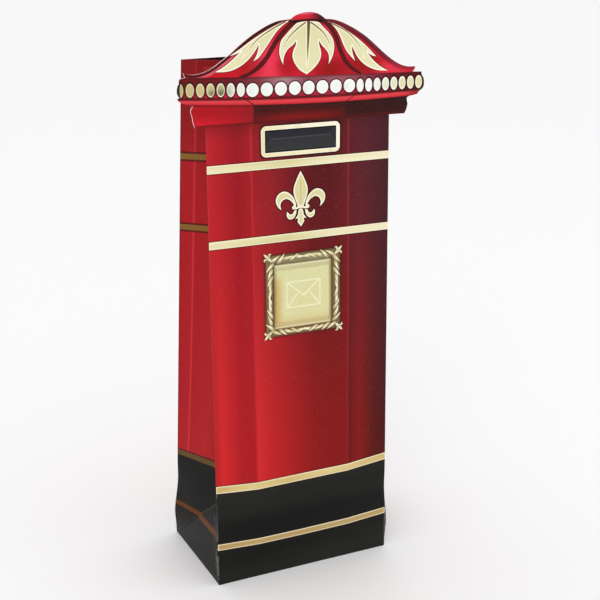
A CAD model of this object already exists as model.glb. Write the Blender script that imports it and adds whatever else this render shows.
"""Gusseted paper gift bag dressed as a red pillar post box, standing open on a pale floor."""
import math

import bmesh
import bpy
import numpy as np
from mathutils import Matrix, Vector
from mathutils.geometry import delaunay_2d_cdt


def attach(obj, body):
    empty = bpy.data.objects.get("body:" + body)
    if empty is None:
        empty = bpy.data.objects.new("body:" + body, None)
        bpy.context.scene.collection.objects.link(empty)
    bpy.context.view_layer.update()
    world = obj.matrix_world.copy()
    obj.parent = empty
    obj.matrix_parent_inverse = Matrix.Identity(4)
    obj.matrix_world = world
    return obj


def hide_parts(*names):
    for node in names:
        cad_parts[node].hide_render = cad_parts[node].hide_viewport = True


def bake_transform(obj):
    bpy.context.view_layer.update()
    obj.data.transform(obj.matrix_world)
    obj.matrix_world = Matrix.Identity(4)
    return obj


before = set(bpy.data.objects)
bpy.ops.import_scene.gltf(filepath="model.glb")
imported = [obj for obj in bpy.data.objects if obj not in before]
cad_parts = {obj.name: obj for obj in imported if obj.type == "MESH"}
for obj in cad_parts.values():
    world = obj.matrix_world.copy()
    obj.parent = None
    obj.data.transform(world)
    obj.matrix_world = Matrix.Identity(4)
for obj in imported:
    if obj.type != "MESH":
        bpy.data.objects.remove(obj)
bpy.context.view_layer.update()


# ---- camera ----
# Stands to the left of the front and a little above the mouth, looking down at the bag.
EYE = Vector((-0.3377, -0.7099, 0.4416))
YAW, PITCH, ROLL = (math.radians(a) for a in (26.14, 18.4, 0.66))
ahead = Vector((math.sin(YAW) * math.cos(PITCH), math.cos(YAW) * math.cos(PITCH), -math.sin(PITCH)))
level = Vector((math.cos(YAW), -math.sin(YAW), 0))
upright = level.cross(ahead)
right = level * math.cos(ROLL) + upright * math.sin(ROLL)
top = upright * math.cos(ROLL) - level * math.sin(ROLL)
lens = bpy.data.cameras.new("camera")
lens.lens, lens.sensor_width = 73.73, 36
lens.clip_start, lens.clip_end = 0.05, 20
camera = bpy.data.objects.new("camera", lens)
camera.matrix_world = Matrix.Translation(EYE) @ Matrix((right, top, -ahead)).transposed().to_4x4()
bpy.context.collection.objects.link(camera)
bpy.context.scene.camera = camera


# ---- front sheet ----
# Laminated art paper, printed as the pillar's three facets over a black foot. It leans back a little,
# ripples slightly and has a soft kink where the foot was folded flat.
WIDTH, DEPTH, HEIGHT = 127.0, 80.7, 342.0
HALF_WIDTH = WIDTH / 2
SETBACK, REAR_SETBACK = 14.8, 27.1
LEAN, REAR_LEAN = math.atan(SETBACK / HEIGHT), math.atan(REAR_SETBACK / HEIGHT)
CENTRE_X = -3.6
LEFT_CREASE = HALF_WIDTH - CENTRE_X
# mm along the leaning sheet for each metre up
UP_THE_SLOPE = 1000.9
PAPER = 0.4
FACET = 33.6


def bow(u, v):
    """How far the front sheet stands off a flat plane, in mm."""
    u, v = np.asarray(u, float), np.asarray(v, float)
    between = np.clip(1 - np.abs(u) / HALF_WIDTH, 0, 1) ** 0.6
    fade = np.clip((300 - v) / 40, 0, 1) * np.clip(v / 10, 0, 1)
    ripple = 0.45 * np.sin(v / 29 + 0.6 + u / 70) + 0.22 * np.sin(v / 13.5 + u / 31)
    kink = 0.8 * np.exp(-np.abs(v - 41) / 11)
    return (between * ripple + kink * (0.35 + 0.65 * between)) * fade


def on_front(points):
    """Places points given across, up and off the front sheet, in mm, in the frame, in metres."""
    u, v, n = np.asarray(points, float).reshape(-1, 3).T
    n = n + bow(u, v)
    x = CENTRE_X + u
    y = v * math.sin(LEAN) - n * math.cos(LEAN) - DEPTH / 2
    z = v * math.cos(LEAN) + n * math.sin(LEAN)
    return np.column_stack((x, y, z)) / 1000


def on_rear(points):
    """The same for the rear sheet, seen from outside."""
    u, v, n = np.asarray(points, float).reshape(-1, 3).T
    x = CENTRE_X + u
    y = DEPTH / 2 - v * math.sin(REAR_LEAN) + n * math.cos(REAR_LEAN)
    z = v * math.cos(REAR_LEAN) + n * math.sin(REAR_LEAN)
    return np.column_stack((x, y, z)) / 1000


class Wire:
    """One shader socket. Arithmetic on it adds Math nodes."""

    def __init__(self, finish, socket):
        self.finish, self.socket = finish, socket

    def math(self, operation, *values):
        return self.finish.node("ShaderNodeMath", {"operation": operation}, *values)

    def __add__(self, other):
        return self.math("ADD", self, other)

    def __sub__(self, other):
        return self.math("SUBTRACT", self, other)

    def __rsub__(self, other):
        return self.math("SUBTRACT", other, self)

    def __mul__(self, other):
        return self.math("MULTIPLY", self, other)

    def __truediv__(self, other):
        return self.math("DIVIDE", self, other)

    __radd__, __rmul__ = __add__, __mul__

    def parts(self):
        """The three numbers of a place."""
        split = self.finish.node("ShaderNodeSeparateXYZ", {}, self).socket.node
        return [Wire(self.finish, socket) for socket in split.outputs]

    def size(self):
        return self.math("ABSOLUTE", self)

    def at_least(self, floor):
        return self.math("MAXIMUM", self, floor)

    def above(self, edge, soft):
        """0 below the edge and 1 above it, changing over soft."""
        low, high = edge - soft / 2, edge + soft / 2
        settings = {"interpolation_type": "SMOOTHSTEP", "clamp": True}
        return self.finish.node("ShaderNodeMapRange", settings, self, low, high, 0.0, 1.0)

    def below(self, edge, soft):
        return 1 - self.above(edge, soft)

    def between(self, low, high, soft):
        return self.above(low, soft) * self.below(high, soft)


class Tree:
    """A node tree, built node by node."""

    def __init__(self, tree):
        self.tree = tree

    def feed(self, socket, value):
        if isinstance(value, Wire):
            self.tree.links.new(value.socket, socket)
        elif isinstance(value, tuple) and len(value) == 3 and socket.type == "RGBA":
            socket.default_value = (*value, 1)
        else:
            socket.default_value = value

    def node(self, kind, settings, *values, out=0, **named):
        made = self.tree.nodes.new(kind)
        for key, value in settings.items():
            if key == "stops":
                while len(made.color_ramp.elements) < len(value):
                    made.color_ramp.elements.new(0.5)
                for element, (place, colour) in zip(made.color_ramp.elements, value):
                    element.position, element.color = place, (*colour, 1)
            else:
                setattr(made, key, value)
        for socket, value in zip(made.inputs, values):
            self.feed(socket, value)
        for key, value in named.items():
            self.feed(next(s for s in made.inputs if s.name == key and s.enabled), value)
        return Wire(self, made.outputs[out]) if made.outputs else None


class Finish(Tree):
    """A material: what a surface is printed, coated or cut from."""

    def __init__(self, name, **sockets):
        self.material = bpy.data.materials.new(name)
        self.material.use_nodes = True
        super().__init__(self.material.node_tree)
        self.shader = self.tree.nodes["Principled BSDF"]
        self.set(**sockets)

    def set(self, **sockets):
        for key, value in sockets.items():
            self.feed(self.shader.inputs[key.replace("_", " ")], value)

    def mix(self, share, first, second):
        made = self.tree.nodes.new("ShaderNodeMix")
        made.data_type = "RGBA"
        self.feed(made.inputs[0], share)
        self.feed(made.inputs[6], first)
        self.feed(made.inputs[7], second)
        return Wire(self, made.outputs[2])

    def lay(self, share, colour):
        """Prints a colour over what is there, as far as share says."""
        self.colour = self.mix(share, self.colour, ink(*colour) if isinstance(colour, tuple) else colour)

    def place(self):
        """Across, deep and up, in mm from the bag's centre line."""
        spot = self.node("ShaderNodeTexCoord", {}, out=3)
        x, y, z = spot.parts()
        return x * 1000 - CENTRE_X, y * 1000, z * UP_THE_SLOPE

    def mark(self, name):
        return self.node("ShaderNodeAttribute", {"attribute_name": name}, out=2)

    def grain(self, scale, detail=3.0, rough=0.5, stretch=None):
        spot = self.node("ShaderNodeTexCoord", {}, out=3)
        if stretch:
            spot = self.node("ShaderNodeMapping", {}, spot, Scale=stretch)
        return self.node("ShaderNodeTexNoise", {}, Vector=spot, Scale=scale, Detail=detail, Roughness=rough)

    def ramp(self, value, stops):
        """Printed colours from place to place; each stop is a place in mm and a colour."""
        low, high = stops[0][0], stops[-1][0]
        scaled = [((place - low) / (high - low), ink(*colour)) for place, colour in stops]
        return self.node("ShaderNodeValToRGB", {"stops": scaled}, (value - low) / (high - low))

    def flecks(self, share=1.0):
        """Pale specks where the ink has not quite covered."""
        self.lay((self.grain(900.0, 2.0) - 0.56) * 0.25 * share, (222, 150, 140))

    def film(self, waves, fine, strength, distance):
        """Clear laminate: slow waves with a fine orange peel on them."""
        self.bump(self.grain(waves, 4.0) + self.grain(1400.0, 2.0) * fine, strength, distance)

    def bump(self, height, strength, distance):
        self.set(Normal=self.node("ShaderNodeBump", {}, strength, distance, Height=height))


def eased(points, closed=False, turn=42, step=0.7):
    """Rounds a drawn line between its corners; a corner is a turn sharper than turn degrees."""
    line = [np.array(p, float) for p in points]
    count = len(line)
    corner = [False] * count
    for i in range(count):
        if not closed and i in (0, count - 1):
            corner[i] = True
            continue
        before, after = line[i] - line[i - 1], line[(i + 1) % count] - line[i]
        cosine = before @ after / (np.linalg.norm(before) * np.linalg.norm(after) + 1e-9)
        corner[i] = math.degrees(math.acos(max(-1, min(1, cosine)))) > turn
    result = []
    for i in range(count if closed else count - 1):
        j = (i + 1) % count
        start, end = line[i], line[j]
        length = np.linalg.norm(end - start)
        pull_start = (end - line[i - 1]) / 2 if not corner[i] else end - start
        pull_end = (line[(j + 1) % count] - start) / 2 if not corner[j] else end - start
        pull_start = pull_start / (np.linalg.norm(pull_start) + 1e-9) * length
        pull_end = pull_end / (np.linalg.norm(pull_end) + 1e-9) * length
        for k in range(max(1, math.ceil(length / step))):
            t = k / max(1, math.ceil(length / step))
            result.append((2 * t**3 - 3 * t**2 + 1) * start + (t**3 - 2 * t**2 + t) * pull_start
                          + (3 * t**2 - 2 * t**3) * end + (t**3 - t**2) * pull_end)
    if not closed:
        result.append(line[-1])
    return np.array(result)


def distance(points, line, closed=False):
    """How far each point is from a drawn line, in mm."""
    points, line = np.asarray(points, float)[:, :2], np.asarray(line, float)[:, :2]
    starts, ends = (line, np.roll(line, -1, axis=0)) if closed else (line[:-1], line[1:])
    nearest = np.full(len(points), 1e9)
    for start, end in zip(starts, ends):
        along = end - start
        share = np.clip((points - start) @ along / (along @ along + 1e-12), 0, 1)
        nearest = np.minimum(nearest, np.linalg.norm(points - start - share[:, None] * along, axis=1))
    return nearest


def inside(points, line):
    x, y = points[:, 0], points[:, 1]
    odd = np.zeros(len(points), bool)
    for (x1, y1), (x2, y2) in zip(line[:, :2], np.roll(line[:, :2], -1, axis=0)):
        crosses = (y1 > y) != (y2 > y)
        odd ^= crosses & (x < (x2 - x1) * (y - y1) / (y2 - y1 + 1e-12) + x1)
    return odd


def ink(red, green, blue):
    """A printed colour, as the eye judges it, turned into paint, less the sheen of the film over it."""
    return tuple(max(0.0012, ((c / 255 + 0.055) / 1.055) ** 2.4 - 0.013) for c in (red, green, blue))


FOOT_TOP, LOW_BAND = 66.3, 26.0
BANDS = ((280.5, 2.5), (233.2, 2.45), (FOOT_TOP, 2.5), (LOW_BAND, 2.2))
CORNER_RISE = {FOOT_TOP: 0.094, LOW_BAND: 0.057}
FACETS_HIGH = [
    (-63.5, (186, 44, 50)), (-58, (176, 38, 45)), (-44, (150, 32, 39)), (-35, (158, 36, 42)),
    (-33.9, (192, 48, 56)), (-32.9, (150, 36, 40)), (-22, (140, 38, 44)), (-8, (112, 34, 40)),
    (8, (84, 30, 34)), (20, (84, 32, 36)), (32.6, (98, 36, 40)), (33.7, (134, 46, 52)),
    (34.8, (92, 38, 44)), (42, (90, 40, 46)), (54, (80, 40, 46)), (63.5, (70, 38, 44)),
]
FACETS_LOW = [
    (-63.5, (176, 40, 42)), (-58, (206, 45, 48)), (-44, (172, 34, 40)), (-35, (170, 34, 40)),
    (-33.9, (186, 40, 46)), (-32.9, (206, 48, 50)), (-22, (188, 40, 43)), (-8, (168, 36, 38)),
    (8, (142, 32, 32)), (20, (134, 30, 28)), (32.6, (134, 30, 28)), (33.7, (152, 36, 36)),
    (34.8, (104, 27, 26)), (42, (134, 30, 28)), (54, (92, 28, 29)), (63.5, (74, 28, 30)),
]
front_print = Finish("laminated_front_print", Roughness=0.42, Specular_IOR_Level=0.15)
u, _, v = front_print.place()
facets_high = front_print.ramp(u, FACETS_HIGH)
facets_low = front_print.ramp(u, FACETS_LOW)
red = front_print.mix(v.above(190, 240), facets_low, facets_high)
shade = v.above(303, 16)
red = front_print.mix(shade * 0.45, red, ink(70, 16, 20))
rise = (u.size() - FACET).at_least(0.0)
foot = (v - rise * CORNER_RISE[FOOT_TOP]).below(FOOT_TOP, 0.4)
cloud = front_print.grain(9.0, stretch=(0.5, 1.0, 4.0))
black = front_print.mix(cloud.above(0.5, 0.5), ink(30, 30, 29), ink(46, 46, 43))
front_print.colour = front_print.mix(foot, red, black)
worn = (HALF_WIDTH - u.size()).below(0.45, 0.5)
worn_here = worn * front_print.grain(260.0).above(0.46, 0.16) * (0.05 + foot * 0.3)
front_print.lay(worn_here, (150, 146, 140))
for height, half in BANDS:
    middle = v - height - rise * CORNER_RISE.get(height, 0.0)
    front_print.lay((middle.size() - half).size().below(0.55, 0.5) * 0.8, (58, 10, 16))
frame_reach = ((u - 0.15).size() - 24.8).at_least(0) * ((u - 0.15).size() - 24.8).at_least(0)
frame_reach = frame_reach + ((v - 295).size() - 7).at_least(0) * ((v - 295).size() - 7).at_least(0)
frame_reach = frame_reach.math("SQRT", frame_reach)
front_print.lay(frame_reach.between(2.4, 3.7, 0.5) * 0.85, (52, 12, 18))
plaque_reach = ((u - 0.9).size() - 27.1).math("MAXIMUM", (u - 0.9).size() - 27.1, (v - 195.3).size() - 27.1)
front_print.lay(plaque_reach.below(0.9, 2.2) * 0.6, (70, 14, 20))
fleur_line = front_print.mark("to_fleur").below(0.85, 0.5)
front_print.lay(fleur_line * 0.85, (52, 12, 18))
front_print.flecks(1 - foot)
front_print.set(Base_Color=front_print.colour, Roughness=0.40 + (cloud - 0.5) * 0.16 - foot * 0.06)
front_print.film(55.0, 0.12, 0.25, 0.0004)

inner_paper = Finish("uncoated_paper_inside", Roughness=0.85)
fibre = inner_paper.grain(700.0, 4.0, 0.7)
bare = inner_paper.mix(fibre, ink(214, 211, 204), ink(240, 238, 233))
hem = inner_paper.place()[2].above(HEIGHT - 28, 0.4)
inner_paper.set(Base_Color=inner_paper.mix(hem, bare, ink(138, 26, 32)), Roughness=0.85 - hem * 0.4)
inner_paper.bump(fibre, 0.3, 0.0002)


def finished(name, mesh, *finishes):
    piece = bpy.data.objects.new(name, mesh)
    bpy.context.collection.objects.link(piece)
    for finish in finishes:
        mesh.materials.append(finish.material)
    return piece


def bent_sheet(name, place, columns, rows, thickness, finishes, marks=()):
    """A thin closed sheet. place gives a point of its printed face, in metres, from two shares of it."""
    across_at = np.linspace(0, 1, columns + 1) if isinstance(columns, int) else columns
    along_at = np.linspace(0, 1, rows + 1) if isinstance(rows, int) else rows
    columns, rows = len(across_at) - 1, len(along_at) - 1
    shares = [(a, b) for a in across_at for b in along_at]
    outer = np.array(place(*np.array(shares).T), float).reshape(columns + 1, rows + 1, 3)
    across, along = np.gradient(outer, axis=0), np.gradient(outer, axis=1)
    normal = np.cross(across, along)
    normal /= np.linalg.norm(normal, axis=2, keepdims=True)
    inner = outer - normal * thickness / 1000
    count = len(shares)
    at = np.arange(count).reshape(columns + 1, rows + 1)
    a, b, c, d = (q.ravel() for q in (at[:-1, :-1], at[1:, :-1], at[1:, 1:], at[:-1, 1:]))
    faces = [*zip(a, b, c, d)]
    kinds = [0] * len(faces)
    faces += [*zip(d + count, c + count, b + count, a + count)]
    kinds += [1] * (len(faces) - len(kinds))
    for rim in (at[:, 0], at[-1, :], at[::-1, -1], at[0, ::-1]):
        faces += [*zip(rim[1:], rim[:-1], rim[:-1] + count, rim[1:] + count)]
    kinds += [2] * (len(faces) - len(kinds))
    mesh = bpy.data.meshes.new(name)
    spots = np.vstack((outer.reshape(-1, 3), inner.reshape(-1, 3)))
    mesh.from_pydata(spots.tolist(), [], [[int(k) for k in f] for f in faces])
    mesh.polygons.foreach_set("material_index", kinds)
    mesh.polygons.foreach_set("use_smooth", [True] * len(kinds))
    mesh.set_sharp_from_angle(angle=math.radians(30))
    for key, values in dict(marks).items():
        mark = mesh.attributes.new(key, "FLOAT", "POINT")
        mark.data.foreach_set("value", np.tile(values(*np.array(shares).T), 2).astype(np.float32))
    return finished(name, mesh, *finishes)


CORNER_ROLL = 0.6
ROLL_START, HALF_SHEET = 62.9, 63.74


def bulge(v):
    """The foot's corners belly out where the bottom was folded and flattened."""
    return 1.5 * np.exp(-((v - 20) / 12) ** 2) - 0.5 * np.exp(-((v - 46) / 9) ** 2)


def rolled(u, v):
    """The crease at each corner: the last strip of the sheet rolls back towards the gusset."""
    turned = np.clip((np.abs(u) - ROLL_START) / CORNER_ROLL, 0, 1.4)
    flat = np.minimum(np.abs(u), ROLL_START) + CORNER_ROLL * np.sin(turned)
    flat = flat + bulge(v) * (np.abs(u) / HALF_WIDTH) ** 10
    return np.sign(u) * flat, -CORNER_ROLL * (1 - np.cos(turned))


def front_face(a, b):
    u, v = (a - 0.5) * 2 * HALF_SHEET, b * HEIGHT / math.cos(LEAN)
    across, back = rolled(u, v)
    return on_front(np.column_stack((across, v, back)))


# The fleur-de-lis, drawn as its right half from the axis; its dark outline is printed on the sheet.
FLEUR_AXIS = -0.4
FLEUR_PETAL = [
    (0, 275), (1.7, 272), (3.3, 268.6), (4.6, 265.2), (5, 262), (4.3, 258.8), (3, 255.4), (2.1, 253),
    (0.9, 252.2),
]
FLEUR_WING = [
    (3.2, 252.9), (3.9, 256.2), (5.7, 259.3), (8.2, 261.6), (11, 262.8), (13.8, 262.4), (16.1, 260.7),
    (17.3, 258.1), (17, 255.3), (15.6, 252.9), (13.5, 251.1), (14.2, 253.6), (13.8, 255.7), (12.3, 257.4),
    (10.1, 258), (8.1, 257.3), (6.4, 256), (5.1, 254.3), (4.3, 252.6),
]
FLEUR_COLLAR = [
    (0, 253.2), (1, 253.3), (2, 252.6), (2.9, 251.9), (3.4, 252.3), (4.2, 253.1), (5.2, 253.2),
    (6, 252.5), (6, 251.5), (5.3, 250.8), (4.3, 250.8), (3.3, 250.7), (2.3, 250.9), (1.1, 251.3),
    (0, 251.4),
]
FLEUR_CURL = [
    (3, 250.2), (3.5, 247.6), (4.9, 245.4), (6.9, 244.5), (8.9, 245.3), (9.9, 247.2), (9.6, 249.9),
    (8.3, 248.4), (7.1, 247.7), (5.7, 248.1), (4.6, 250),
]
FLEUR_FOOT = [
    (0, 251), (1.1, 250.6), (1.7, 249), (2, 247.2), (3.9, 244.5), (2.6, 244.8), (1.9, 244.4),
    (2.3, 242.6), (1.2, 240.9), (0, 239.3),
]


def mirrored(half, turn=50):
    """The whole of a shape drawn as its right half, closed across the axis."""
    half = eased(half, turn=turn, step=0.35)
    middle = half[:, 0].min() < 1.2
    if middle:
        whole = np.vstack((half, half[::-1] * (-1, 1)))
        keep = np.linalg.norm(whole - np.roll(whole, 1, axis=0), axis=1) > 0.05
        return [whole[keep] + (FLEUR_AXIS, 0)]
    half = half[:-1] if np.allclose(half[0], half[-1]) else half
    return [half + (FLEUR_AXIS, 0), half[::-1] * (-1, 1) + (FLEUR_AXIS, 0)]


fleur_shapes = [
    *mirrored(FLEUR_PETAL), *mirrored(FLEUR_WING + FLEUR_WING[:1]), *mirrored(FLEUR_CURL + FLEUR_CURL[:1]),
    *mirrored(FLEUR_FOOT), *mirrored(FLEUR_COLLAR),
]


def to_fleur(a, b):
    u, v = (a - 0.5) * 2 * HALF_SHEET, b * HEIGHT / math.cos(LEAN)
    spots = np.column_stack((u, v))
    reach = np.full(len(spots), 9.0)
    near = (np.abs(u) < 24) & (v > 230) & (v < 282)
    spots = spots[near]
    reaches = [np.where(inside(spots, shape), 0, distance(spots, shape, True)) for shape in fleur_shapes]
    reach[near] = np.min(reaches, axis=0)
    return reach


roll = np.linspace(ROLL_START, HALF_SHEET, 7)
columns = np.concatenate((
    -roll[::-1], np.arange(-61, -20, 2.05), np.arange(-20, 20, 0.6), np.arange(20, 61.5, 2.05), roll,
))
columns = columns / (2 * HALF_SHEET) + 0.5
rows = np.concatenate((
    np.arange(0, 236, 2.4), np.arange(236, 278, 0.6), np.arange(278, 342.3, 2.4), [342.32],
))
rows = rows / rows[-1]
front_sheet = bent_sheet(
    "front_sheet", front_face, columns, rows, PAPER, (front_print, inner_paper, front_print),
    {"to_fleur": to_fleur},
)
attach(front_sheet, "front")
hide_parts("front_panel")


# ---- rear sheet, with the side seam under it ----
# The same laminated paper, printed with plain facets over the black foot. It leans forward to the mouth.
# One edge of the body paper is turned in and glued behind it as the side seam.
FACETS_REAR = [
    (-63.5, (150, 32, 38)), (-45, (176, 38, 44)), (-34.5, (158, 34, 40)), (-33.6, (196, 52, 58)),
    (-32.6, (150, 32, 38)), (-12, (168, 36, 42)), (12, (168, 36, 42)), (32.6, (150, 32, 38)),
    (33.6, (196, 52, 58)), (34.5, (158, 34, 40)), (45, (176, 38, 44)), (63.5, (150, 32, 38)),
]


def banded(finish, height, dull, share=1.0):
    """Prints the gold bands at their heights and says where the gold lies."""
    shares = [(v, half * share) for v, half in BANDS]
    gold = sum((height.between(v - half, v + half, 0.35) for v, half in shares[1:]),
               height.between(shares[0][0] - shares[0][1], shares[0][0] + shares[0][1], 0.35))
    line = sum((height.between(v - half - 0.7, v + half + 0.7, 0.3) for v, half in BANDS[1:]),
               height.between(BANDS[0][0] - 3.2, BANDS[0][0] + 3.2, 0.3))
    finish.lay(line * 0.75, (44, 12, 14))
    finish.lay(gold, dull)
    return gold


rear_print = Finish("laminated_rear_print", Roughness=0.42, Specular_IOR_Level=0.15)
u, _, v = rear_print.place()
red = rear_print.ramp(u, FACETS_REAR)
cloud = rear_print.grain(9.0)
black = rear_print.mix(cloud.above(0.5, 0.5), ink(30, 30, 29), ink(46, 46, 43))
foot = v.below(FOOT_TOP, 0.4)
rear_print.colour = rear_print.mix(foot, red, black)
gold = banded(rear_print, v, (226, 202, 140))
worn = (HALF_WIDTH - u.size()).below(0.45, 0.5)
rear_print.lay(worn * 0.7, (62, 14, 18))
rear_print.flecks(1 - foot)
rear_print.set(Base_Color=rear_print.colour, Metallic=gold * 0.85, Roughness=0.40 + (cloud - 0.5) * 0.16)
rear_print.film(55.0, 0.12, 0.25, 0.0004)


REAR_LENGTH = HEIGHT / math.cos(REAR_LEAN)


def rear_at(u, v, inward):
    """A point of the rear sheet, which sways and bellies back towards the mouth."""
    between = np.clip(1 - np.abs(u) / HALF_WIDTH, 0, 1) ** 0.6
    sway = (0.5 * np.sin(v / 37 + u / 60) - 0.35 * np.sin(v / 15)) * between * np.clip(v / 12, 0, 1)
    mouth = 3.0 * np.cos(np.clip(u / HALF_WIDTH, -1, 1) * math.pi / 2) * np.clip((v - 190) / 152, 0, 1) ** 1.6
    step = 0.28 * np.clip((-u - 47) / 0.8, 0, 1)
    return u, v, sway * np.clip((318 - v) / 30, 0, 1) + mouth + step - 0.5 - inward


def rear_face(a, b):
    u, v = (0.5 - a) * 2 * HALF_SHEET, 0.5 + b * (REAR_LENGTH - 0.5)
    across, back = rolled(u, v)
    u, v, out = rear_at(across, v, 0)
    return on_rear(np.column_stack((u, v, out + back)))


def rear_lining(low, high, left, right, inward):
    """A card or tab glued to the inner face of the rear sheet, seen from outside as it is made."""
    def place(a, b):
        return on_rear(np.column_stack(rear_at(right + a * (left - right), low + b * (high - low), inward)))

    return place


columns = np.concatenate((-roll[::-1], np.arange(-61, 61.5, 1.3), roll)) / (2 * HALF_SHEET) + 0.5
rear_sheet = bent_sheet("rear_sheet", rear_face, columns, 120, PAPER, (rear_print, inner_paper, rear_print))
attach(rear_sheet, "back")
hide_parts("rear_panel")

seam = bent_sheet(
    "seam_tab_sheet", rear_lining(42, REAR_LENGTH - 34, -56.5, -41.5, PAPER + 0.12), 16, 90, PAPER,
    (inner_paper, inner_paper, inner_paper),
)
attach(seam, "back")
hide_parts("seam_tab")


# ---- mouth strips ----
# Strips of black card, cut to the width of the mouth. They are glued inside the front and rear sheets
# to keep the top edge straight.
strip_card = Finish("black_strip_card", Roughness=0.6, Specular_IOR_Level=0.15)
fibre = strip_card.grain(500.0, 4.0, 0.65)
strip_card.colour = strip_card.mix(fibre, ink(16, 14, 14), ink(36, 33, 32))
strip_card.set(Base_Color=strip_card.colour, Roughness=0.5 + fibre * 0.2)
strip_card.bump(fibre, 0.3, 0.0002)
rear_strip = bent_sheet(
    "rear_mouth_strip_card", rear_lining(REAR_LENGTH - 30, REAR_LENGTH - 0.1, -56.5, 56.5, PAPER + 0.1),
    60, 14, 0.5, (strip_card, strip_card, strip_card),
)
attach(rear_strip, "back")
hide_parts("rear_mouth_strip")
for place in bpy.data.objects["front_mouth_strip"].material_slots:
    place.material = strip_card.material


# ---- gussets ----
# Each side sheet is folded in at its centre crease and gathers towards the mouth. The print goes on
# round the bag, duller, because the folded faces look away from the light.
HALF_GUSSET = DEPTH / 2 - 0.2
GATHER = (SETBACK + REAR_SETBACK) / HEIGHT / (2 * HALF_GUSSET)
LAP = 2.0
FOOT_FOLD = math.acos(1 - GATHER * 38)
FOOT_CREASE = 0.3
APEX = FOOT_CREASE + HALF_GUSSET * math.cos(FOOT_FOLD)

gusset_print = Finish("laminated_gusset_print", Roughness=0.42, Specular_IOR_Level=0.15)
in_from_edge = gusset_print.mark("in_from_edge")
printed_height = gusset_print.mark("printed_height")
fold_distance = gusset_print.mark("fold_distance")
FACETS_SIDE = [
    (0, (170, 36, 42)), (8.6, (176, 38, 44)), (9.6, (206, 58, 62)), (10.6, (172, 36, 42)),
    (24, (178, 40, 44)), (41, (160, 34, 38)),
]
red = gusset_print.ramp(in_from_edge, FACETS_SIDE)
red = gusset_print.mix(printed_height.above(296, 60) * 0.45, red, ink(84, 16, 20))
cloud = gusset_print.grain(9.0)
black = gusset_print.mix(cloud.above(0.5, 0.5), ink(24, 24, 22), ink(40, 38, 35))
foot = printed_height.below(FOOT_TOP, 0.4)
dull_gold = gusset_print.mix(printed_height.above(150, 60), ink(104, 82, 52), ink(136, 102, 56))
dull_gold = gusset_print.mix(printed_height.below(45, 10), dull_gold, ink(104, 64, 36))
gusset_print.colour = gusset_print.mix(foot, red, black)
gold = banded(gusset_print, printed_height, dull_gold, 0.76)
worn = fold_distance.below(0.4, 0.4) * gusset_print.grain(240.0).above(0.45, 0.2)
gusset_print.lay(worn * (0.05 + foot * 0.3), (128, 126, 122))
gusset_print.flecks(1 - foot)
gusset_print.set(Base_Color=gusset_print.colour, Metallic=gold * 0.55, Roughness=0.42 + (cloud - 0.5) * 0.16)
gusset_print.film(60.0, 0.12, 0.3, 0.0004)


def gusset_half(side, way):
    """Shares of the half sheet to the frame. side is 1 on the left; way is 1 from the front edge."""
    def place(a, b):
        s = a * (HALF_GUSSET + LAP)
        low = FOOT_CREASE + np.minimum(s / HALF_GUSSET, 1) * (APEX - FOOT_CREASE)
        z = low + (HEIGHT - low) * b
        fold = np.arccos(1 - GATHER * z)
        belly = 0.7 * np.sin(np.clip(s / HALF_GUSSET, 0, 1) * math.pi) * np.sin(z / 48 + way)
        x = 0.2 + s * np.sin(fold) + belly * np.cos(fold) - bulge(z) * np.exp(-s / 7)
        edge = SETBACK * z / HEIGHT + 0.45 if way > 0 else DEPTH - REAR_SETBACK * z / HEIGHT - 0.6
        y = edge + way * (s * np.cos(fold) - belly * np.sin(fold))
        x = x if side > 0 else WIDTH - x
        return np.column_stack((x - LEFT_CREASE, y - DEPTH / 2, z)) / 1000

    if side * way > 0:
        return lambda a, b: place(1 - a, b)
    return place


def gusset_marks(side, way):
    def s_of(a):
        return (1 - a if side * way > 0 else a) * (HALF_GUSSET + LAP)

    def z_of(a, b):
        low = FOOT_CREASE + np.minimum(s_of(a) / HALF_GUSSET, 1) * (APEX - FOOT_CREASE)
        return low + (HEIGHT - low) * b

    def to_fold(a, b):
        diagonal = (z_of(a, b) - FOOT_CREASE - s_of(a) / HALF_GUSSET * (APEX - FOOT_CREASE)) * 0.72
        return np.minimum(np.minimum(diagonal, np.abs(HALF_GUSSET - s_of(a))), s_of(a) + 0.25)

    return {"in_from_edge": lambda a, b: s_of(a), "printed_height": z_of, "fold_distance": to_fold}


for hand, side in (("left", 1), ("right", -1)):
    for way, label, body in ((1, "front", "front"), (-1, "rear", "back")):
        half = bent_sheet(
            f"{hand}_gusset_{label}_sheet", gusset_half(side, way), 40, 110, PAPER,
            (gusset_print, inner_paper, gusset_print), gusset_marks(side, way),
        )
        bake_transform(half)
        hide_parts(f"{hand}_gusset_{label}")


# ---- foot webs ----
# The flat triangle of each gusset that closes the foot, between the base edge and two diagonal creases.
# Its paper runs on a little behind both creases, so that no gap opens when the mouth is pinched.
WEB_LAP = 2.4


def web_spot(a, b):
    """How far up the web and how far across it a point is, and half the web's width there, in mm."""
    w = np.where(b < 0.9, b / 0.9 * HALF_GUSSET, HALF_GUSSET + (b - 0.9) / 0.1 * 1.8)
    half = np.maximum(HALF_GUSSET - w, 0)
    q = np.abs(1 - 2 * a)
    lap = WEB_LAP * np.clip(w / 9, 0, 1)
    return w, np.where(q < 0.8, q / 0.8 * half, half + (q - 0.8) / 0.2 * lap), half


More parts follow.
